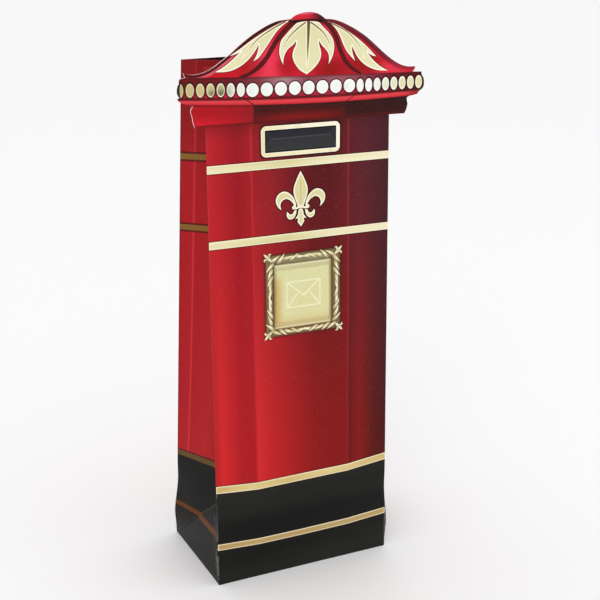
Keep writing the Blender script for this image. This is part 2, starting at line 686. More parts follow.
def foot_web(side):
    def place(a, b):
        w, across, half = web_spot(a, b)
        z = FOOT_CREASE + w * math.cos(FOOT_FOLD)
        corner = np.clip(1 - (HALF_GUSSET - across) / 7, 0, 1) ** 2
        behind = np.clip(np.maximum(across - half, w - HALF_GUSSET) / 0.5, 0, 1)
        x = 0.2 + w * np.sin(np.arccos(1 - GATHER * z)) - bulge(w) * corner + 0.45 * behind
        x = x if side > 0 else WIDTH - x
        return np.column_stack((x - LEFT_CREASE, across * np.sign(1 - 2 * a) * side, z)) / 1000

    return place


def web_fold(a, b):
    w, across, half = web_spot(a, b)
    return np.minimum(np.abs(half - across) * 0.71 + 0.1, w + 0.6)


def web_height(a, b):
    return web_spot(a, b)[0]


def web_inset(a, b):
    w, across, half = web_spot(a, b)
    return half - across + 12


for hand, side in (("left", 1), ("right", -1)):
    web = bent_sheet(
        f"{hand}_foot_web_sheet", foot_web(side), 40, 40, PAPER, (gusset_print, inner_paper, gusset_print),
        {"in_from_edge": web_inset, "printed_height": web_height, "fold_distance": web_fold},
    )
    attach(web, f"{hand}_foot")
    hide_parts(f"{hand}_foot_web")


# ---- topper card ----
# The domed cap and cornice are one die-cut card, white inside and behind, glued over the top of the
# front sheet so that it stands past both corners. Its art is printed flat, shaded to look round.
LEFT_END = [
    (-70.6, 306.9), (-71.6, 310), (-72.1, 313.1), (-72.9, 316.2), (-72.9, 317.6), (-71.5, 319.8),
    (-75, 320.9), (-77.9, 321.9), (-80.3, 323.1), (-81.3, 324.6), (-79.1, 325.6), (-80.6, 326.6),
    (-81.3, 328), (-81.2, 330.4), (-80.4, 331.9), (-79.2, 332.9), (-79.9, 333.5), (-79.8, 334.6),
    (-79.5, 336.1), (-75.8, 336.9), (-76.9, 339.6),
]
LEFT_ROOF = [
    (-76.9, 339.6), (-72.5, 338.5), (-67.8, 338.6), (-62.9, 339.7), (-57.9, 342), (-52.8, 345.3),
    (-46.9, 349.3), (-42.1, 353.1), (-37, 356.8), (-31.3, 360.5), (-25.6, 363.6), (-19.3, 366.4),
    (-14.1, 367.8), (-6.6, 368.4),
]
KNOB = [
    (-6.6, 368.4), (-4, 370.2), (-0.8, 371.4), (2.6, 372.1), (6.7, 372.3), (10.8, 371.6), (13.8, 370.2),
    (17.2, 367.8),
]
RIGHT_ROOF = [
    (17.2, 367.8), (21.5, 367.5), (26.8, 366.2), (32.9, 363.6), (38.9, 360.5), (45.1, 356.6), (50, 352.8),
    (55, 348.6), (60.1, 344.4), (65.2, 340.8), (70.3, 338), (75.4, 336.4), (81.8, 336),
]
RIGHT_END = [
    (81.8, 336), (81.2, 334.4), (80, 332.8), (86.4, 332.5), (86.8, 330.4), (88, 328.6), (88.5, 326.3),
    (88.4, 323.6), (87.8, 322.2), (86.7, 321.2), (84.7, 319.9), (83.5, 318.3), (80.3, 317.7),
    (77.4, 317.3), (76, 316.6), (75.8, 315.2), (76.4, 312.7), (76.2, 311.2), (75.7, 309.4), (74.9, 307.6),
    (74, 306.4),
]
LEFT_RIB = [
    (-3.2, 367.6), (-10.2, 362.3), (-16, 356.1), (-20.1, 350.2), (-23.6, 345.2), (-28.9, 340.3),
    (-34.6, 337), (-41, 335),
]
RIGHT_RIB = [
    (15.4, 367.8), (21, 361.9), (24.5, 356.6), (26.3, 351.3), (28.4, 346.5), (31.1, 341.6), (35.4, 337.2),
    (41.4, 333.6),
]
CENTRE_LEAF = [
    (-1.5, 366.2), (-6.1, 362.9), (-9.7, 359.5), (-13, 356), (-14.2, 352), (-14.4, 348.4), (-13.5, 345),
    (-11.9, 341.4), (-11.7, 344.7), (-10.4, 348.2), (-8, 351.2), (-5.1, 353.1), (-3.1, 355.4),
    (-3.3, 353.1), (-4.7, 350.3), (-5.6, 347), (-4.9, 343.6), (-2.9, 340.2), (-0.3, 337.4), (4, 334.9),
    (7.2, 337), (10, 339.3), (12.2, 341.8), (13.5, 344.2), (14, 346.8), (13.6, 349.6), (12.7, 352.4),
    (12.5, 355.2), (14.6, 352), (17.2, 349.4), (19, 346.8), (19.5, 344), (19.1, 340.4), (21.5, 344.2),
    (22.7, 347.8), (23, 352), (21.9, 355.9), (19.3, 359.4), (15.5, 363), (11.7, 366.2),
]
LEFT_LEAF = [
    (-7.6, 367.6), (-11.3, 367.1), (-16.5, 365.2), (-22.8, 362.3), (-28.5, 359.3), (-34.2, 356),
    (-38.7, 353.1), (-42.7, 350.7), (-47.2, 348.2), (-44.1, 348.9), (-41.6, 349.7), (-39.7, 350.7),
    (-43.3, 347.7), (-47.9, 344.1), (-52.4, 341.3), (-57, 339.2), (-51.3, 339), (-45.8, 339.7),
    (-40.1, 342), (-35.5, 345.1), (-32.1, 348.5), (-29.8, 351.4), (-28, 354.4), (-28.4, 351.1),
    (-29.8, 347.5), (-31.9, 344.4), (-28.2, 346.4), (-25.3, 349.7), (-22.4, 353.3), (-19.4, 357.3),
    (-16.3, 361.1), (-12.6, 364.4),
]
RIGHT_LEAF = [
    (18.8, 366.2), (24.5, 364.3), (29.3, 361.9), (34.1, 359), (39, 355.7), (43.9, 351.9), (48.2, 348.1),
    (52.9, 343.6), (50.1, 344.3), (47.9, 345.4), (46.4, 346.7), (48.9, 343.4), (52.2, 340.1), (56.6, 336.9),
    (61.4, 334.4), (55.2, 334.8), (50.2, 336.1), (45.8, 338.2), (42.1, 341), (39, 344.6), (37.2, 347.9),
    (35.5, 350.9), (35.7, 347.8), (36.6, 344.6), (37.9, 341.4), (34.8, 344.4), (31.7, 347.9), (29.3, 352.2),
    (27.3, 356.7), (24.9, 360.8), (21.9, 364),
]
DISC_RUNS = (
    {"first": -79.2, "last": -79.2, "count": 1, "height": 329.4, "slope": 0.0, "half": 2.0},
    {"first": -73.1, "last": -40.3, "count": 6, "height": 329.2, "slope": -0.04, "half": 2.65},
    {"first": -32.6, "last": 33.8, "count": 8, "height": 327.3, "slope": -0.014, "half": 4.1},
    {"first": 41.5, "last": 84.4, "count": 8, "height": 326.1, "slope": 0.0, "half": 2.55},
)
DISC_HALF_HEIGHT = 4.2
CARD_BACK, CARD_FACE = 0.05, 0.85


def plate(name, outlines, step, back, face, finishes, marks=()):
    """A closed sheet cut to the outlines. face gives its height from the points and their rim distance."""
    loops = [np.asarray(line, float)[:, :2] for line in outlines]
    low, high = loops[0].min(0), loops[0].max(0)
    columns, rows = np.arange(low[0], high[0], step), np.arange(low[1], high[1], step * 0.866)
    grid = np.array([(x + (k % 2) * step / 2, y) for k, y in enumerate(rows) for x in columns])
    rim = np.min([distance(grid, line, True) for line in loops], axis=0)
    keep = inside(grid, loops[0]) & (rim > step * 0.55)
    for hole in loops[1:]:
        keep &= ~inside(grid, hole)
    points = [*map(Vector, np.vstack([*loops, grid[keep]]))]
    faces, first = [], 0
    for line in loops:
        faces.append([*range(first, first + len(line))])
        first += len(line)
    edges = [(f[i - 1], f[i]) for f in faces for i in range(len(f))]
    spots, _, triangles, *_ = delaunay_2d_cdt(points, edges, [], 0, 1e-5)
    spots = np.array([tuple(p) for p in spots])
    triangles = np.array([t for t in triangles if len(t) == 3])
    middle = spots[triangles].mean(1)
    keep = inside(middle, loops[0])
    for hole in loops[1:]:
        keep &= ~inside(middle, hole)
    triangles = triangles[keep]
    p, q, r = (spots[triangles[:, k]] for k in range(3))
    turned = np.cross(q - p, r - p) < 0
    triangles[turned] = triangles[turned][:, ::-1]
    rim = np.min([distance(spots, line, True) for line in loops], axis=0)
    height = face(spots, rim) if callable(face) else np.full(len(spots), float(face))
    count = len(spots)
    directed = {(int(a), int(b)) for t in triangles for a, b in ((t[0], t[1]), (t[1], t[2]), (t[2], t[0]))}
    border = [(a, b) for a, b in directed if (b, a) not in directed]
    border.sort()
    polygons = [*map(tuple, triangles.tolist())]
    kinds = [0] * len(polygons)
    polygons += [(c + count, b + count, a + count) for a, b, c in triangles.tolist()]
    kinds += [min(1, len(finishes) - 1)] * len(triangles)
    polygons += [(b, a, a + count, b + count) for a, b in border]
    kinds += [min(2, len(finishes) - 1)] * len(border)
    upper = np.column_stack((spots, height))
    lower = np.column_stack((spots, np.full(count, back)))
    mesh = bpy.data.meshes.new(name)
    mesh.from_pydata(on_front(np.vstack((upper, lower))).tolist(), [], polygons)
    mesh.polygons.foreach_set("material_index", kinds)
    mesh.polygons.foreach_set("use_smooth", [True] * len(kinds))
    mesh.set_sharp_from_angle(angle=math.radians(32))
    for key, values in {"rim": rim, **{k: f(spots) for k, f in dict(marks).items()}}.items():
        mark = mesh.attributes.new(key, "FLOAT", "POINT")
        mark.data.foreach_set("value", np.tile(values, 2).astype(np.float32))
    loose = bmesh.new()
    loose.from_mesh(mesh)
    bmesh.ops.delete(loose, geom=[v for v in loose.verts if not v.link_faces], context="VERTS")
    loose.to_mesh(mesh)
    loose.free()
    return finished(name, mesh, *finishes)


left_roof, knob, right_roof = eased(LEFT_ROOF), eased(KNOB), eased(RIGHT_ROOF)
card_outline = np.vstack((
    eased(LEFT_END, turn=25)[:-1], left_roof[:-1], knob[:-1], right_roof[:-1], eased(RIGHT_END, turn=25)[:-1],
    eased([RIGHT_END[-1], LEFT_END[0]])[:-1],
))[::-1]
leaves = [eased(shape, closed=True) for shape in (LEFT_LEAF, CENTRE_LEAF, RIGHT_LEAF)]
left_rib, right_rib = eased(LEFT_RIB), eased(RIGHT_RIB)


def discs():
    for run in DISC_RUNS:
        for i in range(run["count"]):
            u = run["first"] + (run["last"] - run["first"]) * i / max(1, run["count"] - 1)
            yield u, run["height"] + run["slope"] * (u - run["first"]), run["half"]


def to_disc(spots):
    """Distance outside the nearest disc, in mm."""
    nearest = np.full(len(spots), 1e9)
    for u, v, half in discs():
        reach = np.hypot((spots[:, 0] - u) / half, (spots[:, 1] - v) / DISC_HALF_HEIGHT)
        nearest = np.minimum(nearest, (reach - 1) * half)
    return nearest


def to_leaf(spots):
    return np.min([np.where(inside(spots, leaf), 0, distance(spots, leaf, True)) for leaf in leaves], axis=0)


def to_rib(spots):
    """Distance from the nearer rib's middle, less what its own width takes away near its foot."""
    taper = np.clip((spots[:, 1] - 333) / 9, 0, 1)
    return np.minimum(distance(spots, left_rib), distance(spots, right_rib)) + (1 - taper) * 0.8


card_print = Finish("topper_card_print", Roughness=0.4, Specular_IOR_Level=0.15)
u, _, v = card_print.place()
dome_foot = v - (u * u * 0.00012 - u * 0.0275 + 334.0)
torus_top = v - (u * u * 0.00025 - u * 0.02 + 321.3)
torus_foot = v - (u * u * 0.00036 - u * 0.0225 + 317.2)


def spot(across, up, reach_across, reach_up):
    """A soft patch of shading, strongest in its middle."""
    x, y = (u - across) / reach_across, (v - up) / reach_up
    return (1 - x * x - y * y).at_least(0.0)


card_print.colour = card_print.mix(spot(-62, 337, 34, 12) * 0.8, ink(202, 36, 52), ink(196, 30, 38))
DOME_PATCHES = (
    ((-24, 342, 13, 22), 1.0, (232, 62, 86)),
    ((14, 360, 9, 9), 0.8, (234, 74, 98)),
    ((-9, 341, 9, 8), 0.9, (172, 32, 42)),
    ((21, 337, 15, 9), 1.0, (150, 22, 28)),
    ((-34, 342, 12, 10), 0.7, (160, 22, 30)),
    ((44, 338, 17, 10), 0.9, (146, 22, 30)),
    ((66, 336, 16, 6), 0.8, (226, 62, 78)),
    ((10, 366, 22, 3.6), 0.55, (70, 16, 24)),
)
for patch, share, colour in DOME_PATCHES:
    card_print.lay(spot(*patch) * share, colour)
in_rib = card_print.mark("to_rib").below(1.5, 0.9)
rib_tone = card_print.mix(card_print.mark("to_rib").above(0.9, 1.2), ink(92, 24, 34), ink(58, 12, 20))
card_print.lay(in_rib, rib_tone)
under_roof = card_print.mark("from_roof")
on_left = u.below(-8, 10)
streak_low = (u.at_least(-80) + 76) * 0.045 + 2.4
streak = under_roof.above(1.8, 0.7) * (under_roof - streak_low).below(0, 1.6) * on_left
card_print.lay(streak * u.below(-38, 26) * 0.75, (226, 108, 124))
card_print.lay(under_roof.between(1.5, 4.4, 0.9) * u.below(-66, 12) * 0.5, (160, 22, 48))
right_streak = under_roof.between(0.3, 1.3, 0.7) * spot(48, 350, 40, 40)
right_shade = under_roof.between(0.0, 3.2, 1.0) * spot(42, 352, 44, 40)
card_print.lay(right_shade * 0.9, (94, 28, 44))
card_print.lay(right_streak * 0.45, (168, 96, 116))
roof_line = under_roof.between(0.2, 1.75, 0.4) * (1 - u.above(12, 20) * 0.55)
card_print.lay(roof_line, card_print.mix(u.above(-52, 16), ink(82, 8, 14), ink(36, 8, 14)))
card_print.lay(under_roof.below(0.3, 0.3) * on_left * 0.6, (176, 90, 96))
crown = v - (368.1 - (u - 5) * (u - 5) * 0.004)
crown_tone = card_print.mix(u.above(9, 12), ink(206, 44, 60), ink(64, 28, 38))
crown_tone = card_print.mix(spot(2, 372.6, 12, 2.2) * 0.7, crown_tone, ink(226, 120, 136))
in_knob = (u - 5.3).size().below(11.6, 0.6)
card_print.lay(crown.above(0, 0.5) * in_knob, crown_tone)
card_print.lay(crown.between(-1.9, 0.1, 0.8) * (u - 5).size().below(10.5, 2), (34, 8, 12))
leaf_line = card_print.mark("to_leaf").below(0.62, 0.45)
card_print.lay(leaf_line * (v.above(335, 2)) * 0.85, (112, 14, 20))

plum = card_print.ramp(u, [
    (-82, (106, 22, 26)), (-45, (110, 34, 42)), (-28, (128, 62, 70)), (-11, (172, 130, 134)),
    (4, (134, 70, 80)), (25, (156, 92, 104)), (50, (134, 56, 70)), (66, (104, 34, 42)),
    (88, (84, 24, 30)),
])
below_dome = dome_foot.below(0, 0.7)
card_print.lay(below_dome, plum)
card_print.lay(dome_foot.between(-0.9, 0.3, 0.5) * 0.45, (54, 16, 26))
behind_discs = dome_foot.below(-5.6, 2.2)
disc_red = card_print.ramp(u, [
    (-82, (150, 24, 34)), (-42, (206, 36, 62)), (-20, (160, 30, 50)), (20, (176, 44, 66)),
    (40, (150, 34, 50)), (88, (78, 22, 26)),
])
card_print.lay(behind_discs, disc_red)
card_print.lay(card_print.mark("to_disc").below(0.75, 0.5) * below_dome * 0.85, (48, 14, 20))
card_print.lay(torus_top.below(0, 0.5), (206, 48, 56))
roll = (torus_foot - 2.0).size()
card_print.lay(roll.below(0.9, 1.4) * 0.5 * torus_top.below(0, 0.5), (226, 84, 92))
card_print.lay(torus_top.below(0, 0.5) * u.above(78, 14) * 0.8, (120, 22, 36))
card_print.lay(torus_top.between(-0.9, 0.7, 0.6) * 0.85, (66, 14, 26))
in_frieze = torus_foot.below(0, 0.6)
frieze_high = card_print.ramp(u, [
    (-82, (176, 30, 38)), (-60, (170, 30, 38)), (-33, (150, 34, 40)), (-31.2, (70, 32, 30)),
    (0, (72, 30, 28)), (31, (64, 30, 28)), (33, (58, 28, 30)), (88, (50, 26, 26)),
])
frieze_low = card_print.ramp(u, [
    (-82, (190, 34, 46)), (-68, (206, 36, 50)), (-48, (182, 34, 42)), (-33, (150, 34, 42)),
    (-31.2, (104, 28, 34)), (-10, (132, 28, 34)), (14, (122, 28, 30)), (31, (88, 28, 28)),
    (33, (60, 28, 32)), (88, (60, 30, 32)),
])
frieze = card_print.mix(v.above(311.5, 7), frieze_low, frieze_high)
frieze = card_print.mix((u.size() - 31.8).size().below(0.35, 0.4) * 0.7, frieze, ink(46, 20, 22))
card_print.lay(in_frieze, frieze)
mitre_line = ((u + 31.8) * 0.64 + torus_foot).size() * (u + 35.5).size().below(4.2, 0.6) \
    + (u + 35.5).size().above(4.2, 0.6) * 9
card_print.lay(mitre_line.below(0.5, 0.4) * 0.7, (60, 16, 24))
right_mitre = ((31.8 - u) * 0.62 + torus_foot).size() + (u - 35).size().above(3.6, 0.6) * 9
card_print.lay(right_mitre.below(0.4, 0.4) * 0.7, (60, 16, 24))
card_print.lay(torus_foot.between(-1.0, 0.2, 0.6) * 0.5, (46, 14, 18))
card_print.lay(v.below(308.1, 0.8) * 0.7, (84, 16, 26))
card_print.flecks()
worn = card_print.mark("rim").below(0.28, 0.3) * card_print.grain(300.0).above(0.56, 0.12) * v.above(310, 2)
card_print.lay(worn * 0.12, (214, 190, 186))
card_print.set(Base_Color=card_print.colour, Roughness=0.38 + (card_print.grain(30.0) - 0.5) * 0.12)
card_print.film(60.0, 0.1, 0.2, 0.0003)

cut_edge = Finish("white_paper_core", Roughness=0.8)
layers = cut_edge.grain(2200.0, 2.0)
cut_edge.set(Base_Color=cut_edge.mix(layers, ink(224, 214, 208), ink(247, 244, 240)))
card_back = Finish("topper_card_back", Roughness=0.9)
pulp = card_back.grain(420.0, 5.0, 0.7)
card_back.set(Base_Color=card_back.mix(pulp, ink(222, 219, 212), ink(243, 241, 237)))
card_back.bump(pulp, 0.35, 0.0003)

topper = plate(
    "topper_card_sheet", [card_outline], 0.8, CARD_BACK, CARD_FACE, (card_print, card_back, cut_edge),
    {
        "to_rib": to_rib, "to_leaf": to_leaf, "to_disc": to_disc,
        "from_roof": lambda spots: np.minimum(distance(spots, left_roof), distance(spots, right_roof)),
    },
)
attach(topper, "front")
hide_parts("topper_card")


# ---- gold leaves on the dome ----
# Three acanthus leaves in pale gold foil, hot-pressed onto the topper card. The stamp raises each rim
# and presses the veins in.
LEFT_VEIN = [
    (-10.1, 367.1), (-15.9, 364.6), (-21.6, 361.7), (-26.8, 358.7), (-30.8, 355.5), (-34.3, 351.8),
    (-38.9, 346.8),
]
RIGHT_VEIN = [
    (19.7, 365.7), (25.6, 363.1), (31.7, 359.9), (36.5, 355.9), (40.2, 351.6), (42.4, 347.5),
    (44.4, 343.2),
]
CENTRE_VEINS = (
    [(3.2, 366.1), (-0.3, 363.9), (-3.8, 361.4), (-7.9, 357.7), (-10.7, 353.8), (-11.9, 349.4)],
    [(7.3, 365.9), (10.8, 363.5), (14.3, 360.8), (17.3, 357.4), (19.4, 353.5), (20.5, 349.2)],
)
MIDRIB = [(5.5, 366.4), (5.2, 358), (4.7, 348), (4.3, 340)]


def vein_marks(veins, midrib=None):
    """Signed distance from the veins' edges, which taper to their tips; negative is in a vein."""
    lines = [(eased(line), 0.5) for line in veins] + ([(eased(midrib), 1.15)] if midrib else [])

    def mark(spots):
        nearest = np.full(len(spots), 9.0)
        for line, half in lines:
            share = np.arange(len(line)) / (len(line) - 1)
            gap = np.linalg.norm(spots[:, None, :] - line[None], axis=2)
            at = gap.argmin(1)
            nearest = np.minimum(nearest, gap.min(1) - half * (1 - share[at]) ** (0.8 if half > 1 else 0.35))
        return nearest

    return mark


leaf_foil = Finish("pale_gold_leaf_foil", Metallic=0.35, Roughness=0.34)
rim, vein = leaf_foil.mark("rim"), leaf_foil.mark("vein")
_, _, v = leaf_foil.place()
brush = leaf_foil.grain(70.0, 3.0)
leaf_foil.colour = leaf_foil.mix(v.above(350, 40), ink(234, 228, 184), ink(226, 214, 168))
leaf_foil.lay(brush.above(0.5, 0.5) * 0.5, (220, 226, 178))
leaf_foil.lay(rim.below(0.75, 0.5), (255, 248, 226))
leaf_foil.lay(vein.between(0.0, 0.8, 0.5) * 0.55, (252, 246, 216))
leaf_foil.lay(vein.below(-0.02, 0.3), (104, 84, 48))
speck = leaf_foil.grain(1100.0, 2.0)
leaf_foil.set(Base_Color=leaf_foil.colour, Roughness=0.30 + speck * 0.14)
leaf_foil.bump(brush + speck * 0.15, 0.2, 0.0003)
for hand, shape, veins, midrib in (
    ("left", leaves[0], [LEFT_VEIN], None),
    ("centre", leaves[1], CENTRE_VEINS, MIDRIB),
    ("right", leaves[2], [RIGHT_VEIN], None),
):
    veined = vein_marks(veins, midrib)

    def stamped(spots, rim):
        raised = 0.10 * np.clip(rim / 0.35, 0, 1) - 0.07 * np.clip((rim - 0.7) / 0.5, 0, 1)
        swell = 0.14 * np.clip(rim / 4.0, 0, 1) ** 0.6
        return CARD_FACE + 0.03 + raised + swell - 0.10 * np.clip(-veined(spots) / 0.25, 0, 1)

    leaf = plate(
        f"dome_leaf_{hand}_foil", [shape], 0.5, CARD_FACE + 0.01, stamped, (leaf_foil,), {"vein": veined},
    )
    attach(leaf, "front")
    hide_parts(f"dome_leaf_{hand}")


# ---- row of gold discs ----
# Coin-like foil discs along the cornice, stamped with a raised rim: broad ones in front, and narrow
# ones where the art turns round the sides. One disc is drawn and set out at each place.
def growth(name, **inputs):
    """A new tree that grows foil pieces on loose points, and wires for what it is given."""
    tree = bpy.data.node_groups.new(name, "GeometryNodeTree")
    for key, kind in {"Places": "Geometry", **inputs, "Foil": "Material"}.items():
        tree.interface.new_socket(key.replace("_", " "), in_out="INPUT", socket_type="NodeSocket" + kind)
    tree.interface.new_socket("Pieces", in_out="OUTPUT", socket_type="NodeSocketGeometry")
    made = Tree(tree)
    given = tree.nodes.new("NodeGroupInput")
    return made, *(Wire(made, socket) for socket in list(given.outputs)[:-1])


def socket_named(tree, name):
    """The identifier of a tree's named input."""
    return next(s.identifier for s in tree.interface.items_tree if s.name == name and s.in_out == "INPUT")


def coat(t, placed, foil):
    """Ends a growth tree: makes the set-out pieces real and coats them with foil."""
    real = t.node("GeometryNodeRealizeInstances", {}, placed)
    t.node("NodeGroupOutput", {}, t.node("GeometryNodeSetMaterial", {}, Geometry=real, Material=foil))


def grown(name, places, tree, settings, numbers=(), centre=(0, 0, 0)):
    """Runs a tree on loose points given across, up and off the sheet; gives a plain mesh in place."""
    seed = bpy.data.meshes.new(name)
    seed.from_pydata([tuple(p) for p in places], [], [])
    for key, values in dict(numbers).items():
        seed.attributes.new(key, "FLOAT", "POINT").data.foreach_set("value", list(values))
    holder = bpy.data.objects.new(name, seed)
    bpy.context.collection.objects.link(holder)
    modifier = holder.modifiers.new("growth", "NODES")
    modifier.node_group = tree
    for key, value in settings.items():
        modifier[socket_named(tree, key)] = value
    bpy.context.view_layer.update()
    made = bpy.data.meshes.new_from_object(holder.evaluated_get(bpy.context.evaluated_depsgraph_get()))
    holder.modifiers.remove(modifier)
    holder.data = made
    flat = np.empty(len(made.vertices) * 3)
    made.vertices.foreach_get("co", flat)
    made.vertices.foreach_set("co", on_front(flat.reshape(-1, 3) + centre).ravel())
    made.update()
    return holder


t, places, half_height, rim_height, foil = growth("disc_row", Disc_half_height="Float", Rim_height="Float")
discs_tree = t.tree
ball = t.node("GeometryNodeMeshUVSphere", {}, 40, 14, 1.0)
x, y, z = t.node("GeometryNodeInputPosition", {}).parts()
out_from_middle = (x * x + y * y).math("SQRT", x * x + y * y)
edge = out_from_middle.below(0.965, 0.07)
dish = out_from_middle.below(0.80, 0.14)
domed = (1 - out_from_middle * out_from_middle) * 0.4
height = (edge * 1.0 - dish * 0.45 + domed) * rim_height * z.above(0.0, 0.01)
flat_place = t.node("ShaderNodeCombineXYZ", {}, x, y, height)
marked = t.node("GeometryNodeStoreNamedAttribute", {"data_type": "FLOAT", "domain": "POINT"},
                Geometry=ball, Name="out_from_middle", Value=out_from_middle)
disc = t.node("GeometryNodeSetPosition", {}, Geometry=marked, Position=flat_place)
half = t.node("GeometryNodeInputNamedAttribute", {"data_type": "FLOAT"}, "half")
scale = t.node("ShaderNodeCombineXYZ", {}, half, half_height, 1.0)
points = t.node("GeometryNodeMeshToPoints", {}, places)
placed = t.node("GeometryNodeInstanceOnPoints", {}, Points=points, Instance=disc, Scale=scale)
coat(t, placed, foil)

disc_foil = Finish("pale_gold_disc_foil", Metallic=0.35, Roughness=0.3)
u, _, v = disc_foil.place()
inner_tone = disc_foil.ramp(u, [
    (-82, (190, 172, 120)), (-62, (206, 192, 138)), (-52, (176, 174, 130)), (-44, (226, 232, 220)),
    (-30, (240, 246, 240)), (50, (242, 246, 240)), (60, (226, 232, 206)), (70, (228, 222, 178)),
    (88, (228, 220, 172)),
])
rim_tone = disc_foil.ramp(u, [
    (-82, (212, 198, 150)), (-60, (232, 222, 178)), (-44, (250, 248, 238)), (60, (255, 254, 250)),
    (88, (255, 248, 222)),
])
radius = disc_foil.mark("out_from_middle")
disc_foil.colour = disc_foil.mix(radius.above(0.78, 0.16), inner_tone, rim_tone)
murk = (u + 55).size().below(6.5, 5) * v.below(328.5, 4) * radius.below(0.8, 0.14)
disc_foil.lay(murk * 0.85, (98, 104, 84))
shaded_end = (u + (v - 329.2) * (v - 329.2) * -0.04).below(-79.6, 0.7)
disc_foil.lay(shaded_end, (24, 18, 18))
brush = disc_foil.grain(160.0, 4.0)
disc_foil.lay(brush.above(0.62, 0.2) * 0.25, (186, 178, 140))
disc_foil.set(Base_Color=disc_foil.colour, Roughness=0.24 + brush * 0.16)
disc_foil.bump(brush, 0.2, 0.0002)

disc_row = grown(
    "disc_row", [(u, v, CARD_FACE + 0.02) for u, v, _ in discs()], discs_tree,
    {"Disc half height": DISC_HALF_HEIGHT, "Rim height": 0.30, "Foil": disc_foil.material},
    {"half": [half for _, _, half in discs()]},
)
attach(disc_row, "front")
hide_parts("bead_row")


# ---- gold bands ----
# Hot-foil lines across the front sheet. The lower two rise at the corners, to look as if they ran
# round the pillar. Foil lies flush with the paper, its edges a little pale.
BAND_RISE = {FOOT_TOP: 2.8, LOW_BAND: 1.7}
band_foil = Finish("gold_band_foil", Metallic=0.4, Roughness=0.36)
u, _, v = band_foil.place()
rim = band_foil.mark("rim")
upper_gold = band_foil.ramp(u, [
    (-63.5, (238, 228, 186)), (-34, (232, 224, 176)), (-10, (222, 216, 162)), (20, (240, 234, 196)),
    (63.5, (244, 236, 200)),
])
lower_gold = band_foil.ramp(u, [
    (-63.5, (206, 178, 112)), (-40, (226, 206, 142)), (-10, (214, 190, 124)), (20, (226, 206, 146)),
    (63.5, (208, 182, 118)),
])
lower_gold = band_foil.mix(v.below(45, 10) * 0.8, lower_gold, ink(180, 148, 94))
band_foil.colour = band_foil.mix(v.above(150, 60), lower_gold, upper_gold)
band_foil.lay(rim.below(0.6, 0.5) * 0.75, (255, 247, 216))
streaks = band_foil.grain(60.0, stretch=(0.15, 1.0, 8.0))
band_foil.lay(streaks.above(0.5, 0.4) * 0.22, (190, 168, 108))
speck = band_foil.grain(1200.0, 2.0)
band_foil.set(Base_Color=band_foil.colour, Roughness=0.30 + streaks * 0.16)
band_foil.bump(streaks + speck * 0.2, 0.15, 0.0002)

for number, (height, half) in enumerate(BANDS, 1):
    lift = BAND_RISE.get(height, 0.0)
    across = np.linspace(-63.45, 63.45, 100)
    middle = height + lift * np.clip((np.abs(across) - FACET) / 29.9, 0, 1)
    lower, upper = (np.column_stack((across, middle + off)) for off in (-half, half))
    outline = np.vstack((lower, upper[::-1]))
    band = plate(
        f"gold_band_{number}", [outline], 1.0, 0.01,
        lambda spots, rim: 0.05 + 0.05 * np.clip(rim / 0.25, 0, 1), (band_foil,),
    )
    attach(band, "front")
    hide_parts(f"foil_band_{number}")


# ---- letter slot ----
# Only a picture of a slot; nothing is cut. A rounded frame of gold foil is pressed round a dark film,
# printed as a plate with sunken bevels.
SLOT = (-24.6, 288.0, 24.9, 302.0)


def rounded(left, bottom, right, top, radius, steps=7):
    corners = (
        (right - radius, bottom + radius, -90), (right - radius, top - radius, 0),
        (left + radius, top - radius, 90), (left + radius, bottom + radius, 180),
    )
    turned = [
        (x, y, math.radians(start + 90 * k / steps)) for x, y, start in corners for k in range(steps + 1)
    ]
    loop = np.array([(x + radius * math.cos(angle), y + radius * math.sin(angle)) for x, y, angle in turned])
    return np.vstack([eased([p, q], step=0.9)[:-1] for p, q in zip(loop, np.roll(loop, -1, axis=0))])


slot_outer = rounded(SLOT[0] - 2.6, SLOT[1] - 2.6, SLOT[2] + 2.6, SLOT[3] + 2.6, 3.4)
slot_inner = rounded(SLOT[0], SLOT[1], SLOT[2], SLOT[3], 0.5, 3)
frame_foil = Finish("slot_frame_foil", Metallic=0.4, Roughness=0.34)
u, _, v = frame_foil.place()
rim = frame_foil.mark("rim")
frame_foil.colour = frame_foil.ramp(u, [
    (-28, (236, 222, 168)), (-12, (246, 238, 202)), (10, (248, 244, 214)), (28, (250, 248, 226)),
])
frame_foil.lay(v.below(289, 6) * 0.5, (234, 224, 168))
frame_foil.lay(rim.below(0.55, 0.5) * 0.7, (255, 250, 228))
streaks = frame_foil.grain(120.0, 4.0)
frame_foil.lay(streaks.above(0.58, 0.2) * 0.2, (196, 176, 116))
frame_foil.set(Base_Color=frame_foil.colour, Roughness=0.28 + streaks * 0.18)
frame_foil.bump(streaks, 0.15, 0.0002)
slot_frame = plate(
    "slot_frame_foil", [slot_outer, slot_inner], 0.8, 0.01,
    lambda spots, rim: 0.05 + 0.12 * np.clip(rim / 0.8, 0, 1) ** 0.7, (frame_foil,),
)

